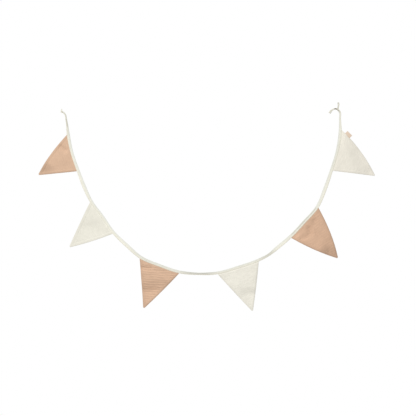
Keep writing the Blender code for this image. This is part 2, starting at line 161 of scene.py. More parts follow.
# The soft folds: the pennant, the two ends of the fold's line as shares across and down the pennant,
# how far it reaches above and below its line, and how far it stands back (below zero, forward)
FOLDS = (
    (1, 0.50, 0.10, 0.45, 0.50, 0.038, 0.038, -0.0016),
    (1, 1.00, 0.82, 1.00, 1.00, 0.050, 0.050, 0.0135),
    (1, 0.50, 1.00, 0.50, 0.98, 0.060, 0.060, 0.0080),
    (2, 0.34, 0.42, 0.58, 0.27, 0.032, 0.060, 0.0036),
    (3, 0.10, 0.26, 0.95, 0.22, 0.030, 0.030, -0.0020),
    (3, 0.12, 0.655, 0.58, 0.565, 0.044, 0.050, 0.0112),
    (3, 0.62, 0.56, 0.95, 0.46, 0.022, 0.030, 0.0022),
    (3, 1.00, 0.90, 1.00, 1.00, 0.060, 0.060, 0.0060),
    (4, 0.00, 0.36, 0.20, 0.38, 0.036, 0.036, -0.0026),
    (4, 0.15, 0.24, 0.70, 0.30, 0.036, 0.036, -0.0014),
    (4, 0.60, 0.63, 1.00, 0.68, 0.032, 0.060, 0.0072),
    (4, 0.50, 1.06, 0.50, 1.04, 0.064, 0.064, 0.0070),
    (5, 0.00, 0.20, 0.00, 0.60, 0.058, 0.034, -0.0116),
    (5, 0.00, 0.84, 0.00, 1.00, 0.050, 0.050, 0.0080),
    (5, 1.00, 0.80, 1.00, 1.00, 0.064, 0.064, 0.0080),
    (5, 0.50, 1.22, 0.50, 1.20, 0.095, 0.095, 0.0230),
    (6, 0.92, 0.08, 0.12, 0.46, 0.046, 0.046, -0.0034),
    (6, 0.45, 0.80, 0.75, 0.45, 0.036, 0.044, 0.0028),
    (6, 0.50, 1.00, 0.50, 0.98, 0.050, 0.050, 0.0050),
)

# Small puckers in the same form, too fine for the solids
PUCKERS = (
    (1, 0.14, 0.22, 0.34, 0.12, 0.016, 0.018, 0.0040),
    (3, 0.08, 0.16, 0.30, 0.10, 0.014, 0.018, 0.0036),
    (3, 0.12, 0.64, 0.40, 0.60, 0.016, 0.024, 0.0022),
    (3, 0.55, 0.30, 1.00, 0.20, 0.034, 0.020, -0.0025),
    (5, 0.49, 0.14, 0.41, 0.22, 0.017, 0.022, 0.0042),
    (5, 0.73, 0.10, 0.68, 0.15, 0.015, 0.022, 0.0032),
    (5, 0.12, 0.17, 0.22, 0.22, 0.024, 0.012, 0.0036),
)

# The label in the seam of pennant_6's upper side
LABEL_WIDTH = 0.0262
LABEL_LENGTH = 0.0124
LABEL_DOWN = 0.144
LABEL_CLEARANCE = 0.0009
LABEL_IN_SEAM = 0.0028
LABEL_CURL = 0.0005
LABEL_CURL_SPAN = 1.4
LABEL_WAVE = 0.00008
LABEL_RINGS = 40

# Meshes
ROW_STEP = 0.0014
TOP_ROWS = (1.0, 0.9, 0.5)
TIP_ROWS = 4
EDGE_OFFSETS = (0.0, 0.0002, 0.0006, 0.0012, 0.0022, 0.0036, 0.0050, 0.0064, 0.0078, 0.0092, 0.0104,
                0.0114, 0.0124, 0.0136)
EDGE_SHARE = 0.44
MIDDLE_COLUMNS = 88
TAPE_RING_STEP = 0.0017
LEAST_RINGS = 6
SIDE_POINTS = 7
SIDE_SPREAD = 0.9
ARC_POINTS = 6
STITCH_RINGS = 5
STITCH_SIDES = 8
KNOT_RINGS = 132
KNOT_SIDES = 14
TOP_SAMPLES = 60
DROP_SAMPLES = 80

# The noises that shape the cloth: their lengths along two coordinates, and their seeds
RIPPLES = {
    "tape wave": (0.011, 0.006, 0.0),
    "fine tape wave": (0.0045, 0.004, 7.3),
    "tape edge": (0.013, 0.01, 3.1),
    "gather": (0.012, 0.01, 0.0),
    "wobble": (0.030, 0.016, 0.0),
    "rib bend": (0.034, 0.018, 2.9),
    "rib strength": (0.026, 0.014, 5.1),
    "crinkle": (0.017, 0.0052, 11.7),
    "fine crinkle": (0.0065, 0.0028, 23.9),
    "top pucker": (0.0048, 0.030, 31.3),
    "side pucker": (0.0060, 0.012, 37.9),
}
STRIP_SEEDS = {"tape_cloth": 1.7, "tape_left_end": 3.3, "tape_right_end_up": 5.9,
               "tape_right_end_down": 8.1, "label_ribbon": 61.0}
PENNANT_SEED = 100.0
BACK_SEED = 40.0

# Relief of the pennants' cloth: heights, and the lengths over which they fade
RIM = 0.0014
SEAM_START = 0.004
SEAM_STEP = 0.0016
SEAM_PUFF = 0.00022
SEAM_LINE = 0.00040  # the groove beside a seam band
SEAM_LINE_OUT = 0.0011
SEAM_LINE_REACH = 0.0009
TOP_START = 0.0002  # where the cloth thickens
TOP_EASE = 0.005
CURL_START = 0.02
CRINKLE_HEIGHT = 0.00030
FINE_HEIGHT = 0.00013
WOBBLE = 0.0030  # how far the crinkle's lines wander
RIB_BEND = 0.0034
RIB_STRENGTH = 0.70  # on average, and how far it varies
CALM_TOP = 0.006  # the crinkle dies away to the tape, to a seam and to a free edge
CALM_SEAM = 0.006
CALM_EDGE = 0.003
CALM_SHARE = 0.35  # how much of it is left in a seam
CALM_FROM = 0.7
PUCKER_HEIGHT = 0.00035  # the puckers below the tape
PUCKER_LENGTH = 0.016
PUCKER_START = 0.003
PUCKER_ENDS = 0.006
SIDE_HEIGHT = 0.00022  # the puckers beside the seams
SIDE_REACH = 0.005
# painted shade: the relief height that is painted as one step of shade and light
SHADE_HEIGHT = 0.00042  # the height that is shaded as one
# painted light on the pennants just below the tape, which lifts the shadow line there
TAPE_PAINTED_LIGHT = {"pink": 0.0, "white": 3.0}  # how much lighter the cloth is against the tape
PAINTED_LIGHT_REACH = 0.0032

# Each pennant's ribs: their height, pitch, turn in degrees from its top edge, and how strongly its relief
# is painted as shade and light
RIBS = {
    1: (0.00024, 0.0084, 0, 0.048),
    2: (0.00008, 0.0080, 0, 0.035),
    3: (0.00056, 0.0100, 18, 0.095),
    4: (0.00012, 0.0084, 8, 0.040),
    5: (0.00020, 0.0094, -14, 0.060),
    6: (0.00005, 0.0080, 0, 0.030),
}

# Relief of the tape
STITCH_INSET = 0.0017
STITCH_LENGTH = 0.0026
STITCH_PITCH = 0.0036
STITCH_RADIUS = 0.00026
STITCH_MARGIN = 0.025  # from each end of the tape to its first stitch
STITCH_FLAT = 0.9
STITCH_END = 0.05
STITCH_SINK = 1.1
STITCH_SEAT = 0.8
TAPE_PINCH = 0.00020  # under the stitches and at the open edge
PINCH_REACH = 0.0011
PINCH_LEAST = 0.55
EDGE_FLAT = 0.0008
EDGE_EASE = 0.0024
EDGE_WANDER = 0.00022
EDGE_CALM = 0.002
FOLD_CALM = 0.003
LIP_REACH = 0.0010  # how the open edge rounds off
LIP_SHARE = 0.60
TAPE_WAVE = 0.00022
FINE_WAVE = 0.5
WAVE_APART = 0.01  # between the noises of the front and the back
GATHERED_WIDTH = 0.0105  # below which the tape is drawn together
GATHER_EASE = 0.0040
GATHER_DEPTH = 0.00040
GATHER_WANDER = 0.10
GATHER_REACH = 0.11
# painted shade in the gathered grooves
GATHER_SHADE = 0.9
GATHERS = ((0.30, 17.0), (0.70, 29.0))  # each groove's share across, and its seed
# painted shade in the stitch dimples, and the wave height painted as one step of shade and light
DIMPLE_SHADE = 0.1
WAVE_SHADE = 0.0002

# The knots' creases, as height, number and twist, and their swelling, as height, number and start
KNOT_CREASES = ((0.13, 3, 2.2), (0.05, 7, 0.0))
KNOT_SWELL = (0.10, 5, 0.8)
KNOT_OUTWARD = (1.0, 1.6, 1.0)
KNOT_STRETCH = 1.6
# painted shade in the knots' creases and painted light on their ridges
KNOT_SHADE = 8.0
KNOT_SHADE_LIMITS = (-1.6, 0.6)

# Creases along the tape: where each starts and ends, its share across, its half width and how dark it is
# painted, which also sets how deep it is
CREASES = (
    ("3 right", "4 left", 0.80, 0.16, 1.5),
    ("5 foot", "5 top", 0.60, 0.13, 4.6),
)
CREASE_FADE = 0.012
CREASE_DEPTH = 0.00016

# Colours as sRGB values
COLOURS = {
    "pink": (0.855, 0.722, 0.610),
    "white": (0.925, 0.912, 0.858),
    "tape": (0.928, 0.916, 0.858),
    # painted shade: the tape's greyer fold
    "tape_fold_shade": (0.908, 0.907, 0.868),
    # painted shadow for the tape's deepest creases and knots
    "tape_painted_shadow": (0.500, 0.460, 0.360),
    "thread": (0.935, 0.925, 0.870),
    "label": (0.885, 0.802, 0.720),
}

# How far each pennant's first and last side curl back, and its tone over the colour's own, which sets how
# light it comes out: partly the cloth's own, partly painted light and shade
CURLS = {
    1: (0.0022, 0.0008, (0.974, 0.971, 0.984)),
    2: (0.0006, 0.0000, (0.966, 0.969, 0.980)),
    3: (0.0006, 0.0014, (0.970, 0.955, 0.964)),
    4: (0.0008, 0.0006, (1.022, 1.020, 1.040)),
    5: (0.0014, 0.0018, (0.956, 0.923, 0.920)),
    6: (0.0004, 0.0010, (1.005, 0.990, 1.002)),
}
CURL_LENGTH = 0.0070
SEAM_TONES = {"pink": 0.970, "white": 0.990}
# painted shade along the pennants' free edges, where the cloth turns away
RIM_PAINTED_SHADES = {"pink": 0.90, "white": 0.965}

# Each finish: its roughness, sheen, thread pitch in metres, and the bump's height and strength
FINISHES = {
    "gauze": (0.94, 0.12, 0.0011, 0.00012, 0.8),
    "tape": (0.90, 0.08, 0.00095, 0.00010, 0.8),
    "thread": (0.70, 0.10, 0.0005, 0.00006, 0.7),
    "ribbon": (0.55, 0.05, 0.0005, 0.00005, 0.6),
    "floor": (0.90, 0.00, 0.0, 0.0, 0.0),
}
SPECULAR = 0.25
SHEEN_ROUGHNESS = 0.55

# Each grain: its waves to a metre along the cloth's two ways, then the noise's own scale and detail
GRAINS = {
    "slubs across": (60.0, 900.0, 1.0, 2.0),
    "slubs down": (900.0, 60.0, 1.0, 2.0),
    "gauze cloud": (1.0, 1.0, 42.0, 3.0),
    "gauze fuzz": (1.0, 1.0, 1500.0, 2.0),
    "tape threads": (1400.0, 160.0, 1.0, 2.0),
    "tape cloud": (1.0, 1.0, 55.0, 3.0),
    "ribbon threads": (120.0, 2600.0, 1.0, 2.0),
    "ribbon cloud": (1.0, 1.0, 120.0, 2.0),
}
# How the relief is painted: as shade and light over its range, as the tape's painted shadow where it runs
# deep, and as the tape's painted shade and light between these tones
SHADED_RELIEF = (-1.0, 3.0)
PAINTED_SHADOW_RELIEF = (-6.0, -1.0)
TAPE_PAINTED_LIGHT_AND_SHADE = (0.95, 1.11)
RIM_SHADE = (0.0008, 0.0080)  # from a free edge, where its shade starts and ends
SEAM_SHADE = (SEAM_WIDTH - 0.0006, SEAM_WIDTH + 0.0012)


def smooth(value):
    """Ease from 0 to 1 as value goes from 0 to 1."""
    value = np.clip(value, 0.0, 1.0)
    return value * value * (3.0 - 2.0 * value)


def bell(offset, reach):
    """A bump of height one at an offset of zero, which falls away over its reach."""
    return np.exp(-(offset / reach) ** 2)


def curve_parts(t):
    """The shares of a curve's start, start slope and end slope as t goes from 0 to 1."""
    return 2 * t**3 - 3 * t**2 + 1, t**3 - 2 * t**2 + t, t**3 - t**2


def linear(channel):
    """The linear value of an sRGB channel."""
    return channel / 12.92 if channel <= 0.04045 else ((channel + 0.055) / 1.055) ** 2.4


def rgba(name):
    """One of the bunting's colours as a linear colour with alpha."""
    return (*(linear(channel) for channel in COLOURS[name]), 1.0)


def unit(vectors):
    """The vectors at length one."""
    return vectors / np.linalg.norm(vectors, axis=-1, keepdims=True)


def length_of(points):
    """The length of a line through points."""
    return np.linalg.norm(np.diff(points, axis=0), axis=1).sum()


def ripple(u, v, kind, seed):
    """One of the noises, from -1 to 1, over two coordinates in metres."""
    length_u, length_v, own_seed = RIPPLES[kind]
    flat = zip((u / length_u).ravel(), (v / length_v).ravel())
    return np.array([noise.noise((a, b, seed + own_seed)) for a, b in flat]).reshape(u.shape)


class Route:
    """A smooth curve through the rows of a table, with the width and roll at each point."""

    def __init__(self, table):
        self.places = [row[0] for row in table]
        self.values = np.array([row[1:6] for row in table])
        steps = np.linalg.norm(np.diff(self.values[:, :3], axis=0), axis=1)
        self.at = np.concatenate(([0.0], np.cumsum(steps)))
        slopes = np.diff(self.values, axis=0) / steps[:, None]
        self.slopes = np.empty_like(self.values)
        self.slopes[0] = slopes[0]
        self.slopes[-1] = slopes[-1]
        before = steps[:-1, None]
        after = steps[1:, None]
        self.slopes[1:-1] = (slopes[:-1] * after + slopes[1:] * before) / (before + after)

    def place(self, name):
        """How far along the route the named row is."""
        return self.at[self.places.index(name)]

    def rows(self, distances):
        """x, y, z, width and roll at each distance along the route."""
        i = np.clip(np.searchsorted(self.at, distances) - 1, 0, len(self.at) - 2)
        span = (self.at[i + 1] - self.at[i])[:, None]
        start, start_slope, end_slope = curve_parts((distances - self.at[i])[:, None] / span)
        return (start * self.values[i] + (1 - start) * self.values[i + 1]
                + span * (start_slope * self.slopes[i] + end_slope * self.slopes[i + 1]))

    def frames(self, distances):
        """The tape's middles, its ways to the open edge and to the back, and its widths."""
        here = self.rows(distances)
        ahead = self.rows(np.minimum(distances + NUDGE, self.at[-1]))
        behind = self.rows(np.maximum(distances - NUDGE, 0.0))
        along = ahead[:, :3] - behind[:, :3]
        along[:, 1] = 0.0
        along = unit(along)
        outward = np.stack((along[:, 2], np.zeros(len(along)), -along[:, 0]), axis=1)
        back = np.array((0.0, 1.0, 0.0))
        roll = np.radians(here[:, 4:5])
        across = outward * np.cos(roll) + back * np.sin(roll)
        facing_back = back * np.cos(roll) - outward * np.sin(roll)
        return here[:, :3], across, facing_back, here[:, 3]

    def open_edge(self, distances):
        """The points on the tape's open edge, and the ways that the tape faces there."""
        middle, across, _, width = self.frames(distances)
        return middle + across * (width / 2)[:, None], across


def tube_faces(rings, sides, base=0, closed=False):
    """The faces round a tube whose points go ring by ring from a base number."""
    faces = []
    for r in range(rings if closed else rings - 1):
        a = base + r * sides
        b = base + (r + 1) % rings * sides
        for s in range(sides):
            n = (s + 1) % sides
            faces.append((a + s, a + n, b + n, b + s))
    return faces


def placed(name, data):
    """A new object in the scene."""
    obj = bpy.data.objects.new(name, data)
    bpy.context.scene.collection.objects.link(obj)
    return obj


def cloth_object(name, points, faces, cloth, relief, finish):
    """A smooth piece, which keeps its places on the cloth and its relief for the material, which paints it
    as shade and light.
    """
    mesh = bpy.data.meshes.new(name)
    mesh.from_pydata(points.tolist(), [], faces)
    for key, kind, what, values in (("cloth", "FLOAT_VECTOR", "vector", cloth),
                                    ("relief", "FLOAT", "value", relief)):
        layer = mesh.attributes.new(key, kind, "POINT")
        layer.data.foreach_set(what, np.ravel(values).astype(float))
    mesh.shade_smooth()
    mesh.materials.append(finish)
    mesh.validate()
    obj = placed(name, mesh)
    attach(obj, "root")
    return obj


# Materials

class Nodes:
    """A short way to add and join the nodes of a material."""

    def __init__(self, name, finish):
        roughness, sheen, self.pitch, self.bump_height, self.bump_strength = FINISHES[finish]
        self.material = bpy.data.materials.new(name)
        self.material.use_nodes = True
        self.tree = self.material.node_tree
        self.shader = self.tree.nodes["Principled BSDF"]
        self.shader.inputs["Roughness"].default_value = roughness
        self.shader.inputs["Specular IOR Level"].default_value = SPECULAR
        self.shader.inputs["Sheen Weight"].default_value = sheen
        self.shader.inputs["Sheen Roughness"].default_value = SHEEN_ROUGHNESS

    def put(self, socket, value):
        """Join a node's output to a socket, or set the socket's own value."""
        if isinstance(value, bpy.types.NodeSocket):
            self.tree.links.new(value, socket)
        else:
            socket.default_value = value

    def add(self, kind, *values):
        """A new node with the values of its first inputs."""
        node = self.tree.nodes.new(kind)
        for socket, value in zip(node.inputs, values):
            self.put(socket, value)
        return node

    def attribute(self, name, output="Vector"):
        node = self.add("ShaderNodeAttribute")
        node.attribute_name = name
        return node.outputs[output]

    def math(self, operation, first, second=0.0, third=0.0):
        node = self.add("ShaderNodeMath", first, second, third)
        node.operation = operation
        return node.outputs[0]

    def parts(self, vector):
        return self.add("ShaderNodeSeparateXYZ", vector).outputs

    def noise(self, vector, scale, detail=2.0):
        node = self.add("ShaderNodeTexNoise", vector)
        node.inputs["Scale"].default_value = scale
        node.inputs["Detail"].default_value = detail
        return node.outputs["Fac"]

    def grain(self, cloth, name):
        """One of the grains over the places on the cloth."""
        along_u, along_v, scale, detail = GRAINS[name]
        node = self.add("ShaderNodeVectorMath", cloth, (along_u, along_v, 0.0))
        node.operation = "MULTIPLY"
        return self.noise(node.outputs[0], scale, detail)

    def range(self, value, low, high, to_low, to_high):
        """The value moved from one range to another and held at its ends."""
        return self.add("ShaderNodeMapRange", value, low, high, to_low, to_high).outputs[0]

    def mix(self, factor, first, second):
        """Two colours mixed, the second where the factor is one."""
        node = self.add("ShaderNodeMix")
        node.data_type = "RGBA"
        self.put(node.inputs["Factor"], factor)
        self.put(node.inputs["A"], first)
        self.put(node.inputs["B"], second)
        return node.outputs["Result"]

    def varied(self, shade, *parts):
        """The shade times each part, which goes from low to high."""
        for part, low, high in parts:
            shade = self.math("MULTIPLY", shade, self.range(part, 0.25, 0.75, low, high))
        return shade

    def paint(self, colour, shade):
        """Give the surface a colour times a shade."""
        node = self.add("ShaderNodeVectorMath", colour[:3] if isinstance(colour, tuple) else colour)
        node.operation = "SCALE"
        self.put(node.inputs["Scale"], shade)
        self.put(self.shader.inputs["Base Color"], node.outputs[0])

    def bump(self, height):
        """Give the surface a fine relief."""
        node = self.add("ShaderNodeBump")
        self.put(node.inputs["Height"], height)
        node.inputs["Distance"].default_value = self.bump_height
        node.inputs["Strength"].default_value = self.bump_strength
        self.put(self.shader.inputs["Normal"], node.outputs[0])

    def sine(self, coordinate):
        """A sine wave along a coordinate, at the finish's pitch."""
        return self.math("SINE", self.math("MULTIPLY", coordinate, 2 * math.pi / self.pitch))

    def twill(self, u, v, slant):
        """Height from 0 to 1 of ribs that slant over the cloth."""
        across = self.math("MULTIPLY_ADD", v, slant, u)
        return self.math("MULTIPLY_ADD", self.sine(across), 0.5, 0.5)

    def weave(self, u, v):
        """Height from 0 to 1 of threads that pass over and under each other."""
        product = self.math("MULTIPLY", self.sine(u), self.sine(v))
        return self.math("MULTIPLY_ADD", product, 0.5, 0.5)


def crinkled_cotton(number, colour_name):
    """A pennant's matt crinkled gauze, deeper in colour in its seams, with painted shade in its hollows and
    painted light on its ridges.
    """
    nodes = Nodes(f"{colour_name}_{number}", "gauze")
    depth = RIBS[number][3]
    plain = tuple(t * c for t, c in zip(CURLS[number][2], rgba(colour_name))) + (1.0,)
    deep = tuple(SEAM_TONES[colour_name] * c for c in plain[:3]) + (1.0,)
    cloth = nodes.attribute("cloth")
    relief = nodes.attribute("relief", "Fac")
    u, v, edge = nodes.parts(cloth)
    weave = nodes.weave(u, v)
    across = nodes.grain(cloth, "slubs across")
    down = nodes.grain(cloth, "slubs down")
    cloud = nodes.grain(cloth, "gauze cloud")
    fuzz = nodes.grain(cloth, "gauze fuzz")
    # the relief painted as shade in hollows and light on ridges
    shade = nodes.range(relief, *SHADED_RELIEF, 1.0 - depth, 1.0 + 2.6 * depth)
    shade = nodes.varied(shade, (across, 0.975, 1.025), (down, 0.98, 1.02), (cloud, 0.97, 1.03),
                         (weave, 0.97, 1.02), (fuzz, 0.985, 1.015))
    # painted shade along the free edges
    shade = nodes.math("MULTIPLY", shade, nodes.range(edge, *RIM_SHADE, RIM_PAINTED_SHADES[colour_name], 1.0))
    in_seam = nodes.range(edge, *SEAM_SHADE, 1.0, 0.0)
    nodes.paint(nodes.mix(in_seam, plain, deep), shade)
    height = weave
    for part, share in ((fuzz, 0.35), (across, 0.8), (down, 0.5)):
        height = nodes.math("MULTIPLY_ADD", part, share, height)
    nodes.bump(height)
    return nodes.material


def tape_cotton():
    """Cotton tape with a slanting rib, with painted light at its open edge, and painted shade at its fold
    and where it is drawn in.
    """
    nodes = Nodes("tape", "tape")
    cloth = nodes.attribute("cloth")
    relief = nodes.attribute("relief", "Fac")
    u, v, across = nodes.parts(cloth)
    rib = nodes.twill(u, v, 1.0)
    threads = nodes.grain(cloth, "tape threads")
    cloud = nodes.grain(cloth, "tape cloud")
    # the relief painted as shade and light
    shade = nodes.range(relief, *SHADED_RELIEF, *TAPE_PAINTED_LIGHT_AND_SHADE)
    # painted shade towards the fold and painted light at the open edge
    for low, high, at_low, at_high in ((0.70, 1.0, 1.0, 0.93), (0.0, 0.30, 1.05, 1.0)):
        shade = nodes.math("MULTIPLY", shade, nodes.range(across, low, high, at_low, at_high))
    shade = nodes.varied(shade, (rib, 0.97, 1.015), (threads, 0.975, 1.02), (cloud, 0.975, 1.02))
    # the fold's greyer colour is painted shade
    colour = nodes.mix(nodes.range(across, 0.30, 0.75, 0.0, 1.0), rgba("tape"), rgba("tape_fold_shade"))
    # a warm painted shadow where the relief runs deepest, as by the right knot
    colour = nodes.mix(nodes.range(relief, *PAINTED_SHADOW_RELIEF, 0.0, 1.0), rgba("tape_painted_shadow"), colour)
    nodes.paint(colour, shade)
    nodes.bump(nodes.math("MULTIPLY_ADD", threads, 0.6, rib))
    return nodes.material


def twisted_thread():
    """Sewing thread with its twist."""
    nodes = Nodes("thread", "thread")
    u, v, _ = nodes.parts(nodes.attribute("cloth"))
    twist = nodes.twill(u, v, 0.6)
    nodes.paint(rgba("thread"), nodes.range(twist, 0.0, 1.0, 0.90, 1.03))
    nodes.bump(twist)
    return nodes.material


def ribbon():
    """Smooth close-woven ribbon, bare."""
    nodes = Nodes("label", "ribbon")
    cloth = nodes.attribute("cloth")
    u, v, _ = nodes.parts(cloth)
    weave = nodes.weave(u, v)
    threads = nodes.grain(cloth, "ribbon threads")
    cloud = nodes.grain(cloth, "ribbon cloud")
    shade = nodes.range(weave, 0.0, 1.0, 0.975, 1.015)
    nodes.paint(rgba("label"), nodes.varied(shade, (threads, 0.975, 1.02), (cloud, 0.98, 1.015)))
    nodes.bump(nodes.math("MULTIPLY_ADD", threads, 0.5, weave))
    return nodes.material


# The folded tape

def section(half_width, leaf, half_gap):
    """A folded strip's outer line, then its inner one, each as places across and places forward."""
    outer = half_gap + leaf
    straight = 1.0 - 2.0 * np.linspace(0.0, 1.0, SIDE_POINTS) ** SIDE_SPREAD
    turn = np.linspace(0.0, math.pi, ARC_POINTS + 2)[1:-1]
    middle = -(half_width - outer)
    side = middle + (straight + 1.0) / 2.0 * (half_width - middle)
    lines = []
    for depth in (outer, half_gap):
        face = np.full(SIDE_POINTS, depth)
        lines.append(np.concatenate((side, middle - np.sin(turn) * depth, side[::-1])))
        lines.append(np.concatenate((-face, -np.cos(turn) * depth, face)))
    return lines


def strip_relief(along, side, reach, width, leaf, pinch, wave, seed, creases):
    """How far a folded strip's faces stand out and wander, and their painted shade and light."""
    from_edge = width / 2 - reach
    share = from_edge / width
    # the leaves press together along the stitches and at the open edge
    between = 0.5 - 0.5 * np.cos(2 * math.pi * along / STITCH_PITCH)
    strength = PINCH_LEAST + (1 - PINCH_LEAST) * between
    dimple = pinch * bell(from_edge - STITCH_INSET, PINCH_REACH) * strength
    press = np.maximum(dimple, pinch * (1.0 - smooth((from_edge - EDGE_FLAT) / EDGE_EASE)))
    # drawn together, the strip has two lengthwise grooves that wander
    drawn = smooth((GATHERED_WIDTH - width) / GATHER_EASE)
    apart = side * WAVE_APART
    groove = sum(bell(share - at - GATHER_WANDER * ripple(along, apart, "gather", seed + own), GATHER_REACH)
                 for at, own in GATHERS)
    # the leaves wave a little where nothing holds them
    free = smooth(from_edge / EDGE_CALM) * smooth((width - from_edge) / FOLD_CALM)
    swell = wave * free * (ripple(along, 2 * apart + reach, "tape wave", seed)
                           + FINE_WAVE * ripple(along, 2 * apart + reach, "fine tape wave", seed))
    crease = np.zeros_like(along)
    for start, end, at, half_width, depth in creases:
        inside = smooth((along - start) / CREASE_FADE) * smooth((end - along) / CREASE_FADE)
        crease += depth * inside * bell(share - at, half_width)
    out = swell - press - (GATHER_DEPTH * drawn * groove + CREASE_DEPTH * crease) * leaf / TAPE_LEAF
    wander = EDGE_WANDER * ripple(along, apart, "tape edge", seed) * np.exp(-from_edge / EDGE_CALM)
    # painted shade and light: lighter on the waves' crests, darker in the stitch dimples, the gathered
    # grooves and the creases
    shade = np.clip((swell - DIMPLE_SHADE * dimple) / WAVE_SHADE, -1.0, 1.0)
    return out, wander, shade - GATHER_SHADE * drawn * groove - crease


def ring_of(outer, inner):
    """Values round each ring: along its outer line and back along its inner one."""
    return np.concatenate((outer, inner[:, ::-1]), axis=1)


def folded_strip(name, frames, half_gaps, along, leaf, finish, pinch, wave,
                 shades=0.0, creases=()):
    """A strip folded in half lengthwise, with rounded open edges."""
    middles, acrosses, backs, widths = frames
    lines = [section(width / 2, leaf, gap) for width, gap in zip(widths, half_gaps)]
    outer_reach, outer_forward, inner_reach, inner_forward = (np.array(part) for part in zip(*lines))
    rows, count = outer_reach.shape
    side = np.sign(outer_forward)
    distance = np.repeat(along[:, None], count, axis=1)
    out, wander, relief = strip_relief(distance, side, outer_reach, widths[:, None], leaf, pinch, wave,
                                       STRIP_SEEDS[name], creases)
    from_edge = widths[:, None] / 2 - outer_reach
    lip = bell(from_edge, LIP_REACH) * leaf * LIP_SHARE
    points = []
    for reach, forward, rounding in ((outer_reach, outer_forward, lip), (inner_reach, inner_forward, 0.0)):
        depth = forward + side * (out - rounding)
        points.append(middles[:, None, :] + acrosses[:, None, :] * (reach + wander)[..., None]
                      + backs[:, None, :] * depth[..., None])
    size = 2 * count
    faces = tube_faces(rows, size)
    for base, order in ((0, -1), ((rows - 1) * size, 1)):
        for c in range(count - 1):
            quad = (base + c, base + c + 1, base + size - 2 - c, base + size - 1 - c)
            faces.append(quad[::order])
    places = (side * from_edge, distance, from_edge / widths[:, None])
    cloth = np.stack([ring_of(part, part) for part in places], axis=-1)
    relief = relief + np.reshape(shades, (-1, 1))
    return cloth_object(name, ring_of(*points).reshape(-1, 3), faces, cloth.reshape(-1, 3),
                        ring_of(relief, relief).ravel(), finish)


def leaf_gaps(distances, spans):
    """The gap between the tape's leaves, wide where they hold a pennant."""
    opening = np.zeros_like(distances)
    for start, end in spans:
        outside = np.maximum(start - distances, distances - end) - MOUTH_MARGIN
        opening = np.maximum(opening, 1.0 - smooth(outside / MOUTH_LENGTH))
    return TAPE_GAP + (PENNANT_GAP - TAPE_GAP) * opening


def strip_on_route(name, route, spans, shades, finish, pinch=0.0, creases=()):
    """Folded tape along a route, with its shades as distances and values."""
    length = route.at[-1]
    distances = np.linspace(0.0, length, max(LEAST_RINGS, round(length / TAPE_RING_STEP)))
    half_gaps = leaf_gaps(distances, spans) / 2
    return folded_strip(name, route.frames(distances), half_gaps, distances, TAPE_LEAF, finish,
                        pinch, TAPE_WAVE, np.interp(distances, *zip(*shades)), creases)


def stitches(route, spans, finish):
    """The stitches along the tape's open edge, front and back."""
    count = int((route.at[-1] - 2 * STITCH_MARGIN) / STITCH_PITCH)
    distances = STITCH_MARGIN + STITCH_PITCH * (np.arange(count) + 0.5)
    middles, acrosses, backs, widths = route.frames(distances)
    alongs = unit(route.rows(distances + NUDGE)[:, :3] - middles)
    depths = leaf_gaps(distances, spans) / 2 + TAPE_LEAF - TAPE_PINCH * STITCH_SEAT
    t = np.linspace(-1.0, 1.0, STITCH_RINGS)
    length = t * STITCH_LENGTH / 2
    radius = np.sqrt(np.clip(1.0 - t**4, STITCH_END, 1.0)) * STITCH_RADIUS
    sink = abs(t) ** 3 * STITCH_RADIUS * STITCH_SINK
    angle = np.linspace(0, 2 * math.pi, STITCH_SIDES, endpoint=False)
    points, faces, cloth = [], [], []
    for side in (-1.0, 1.0):
        centre = (middles + acrosses * (widths / 2 - STITCH_INSET)[:, None]
                  + backs * (side * depths)[:, None])
        for i in range(count):
            first = len(points)
            for k in range(STITCH_RINGS):
                for a in angle:
                    offset = (alongs[i] * length[k] + acrosses[i] * math.cos(a) * radius[k] * STITCH_FLAT
                              + backs[i] * side * (math.sin(a) * radius[k] - sink[k]))
                    points.append(centre[i] + offset)
                    cloth.append((a * STITCH_RADIUS, distances[i] + length[k], 0.0))
            last = len(points) - STITCH_SIDES
            faces += tube_faces(STITCH_RINGS, STITCH_SIDES, first)
            faces.append(tuple(reversed(range(first, first + STITCH_SIDES))))
            faces.append(tuple(range(last, last + STITCH_SIDES)))
    return cloth_object("tape_stitches", np.array(points), faces, np.array(cloth), np.zeros(len(points)),
                        finish)


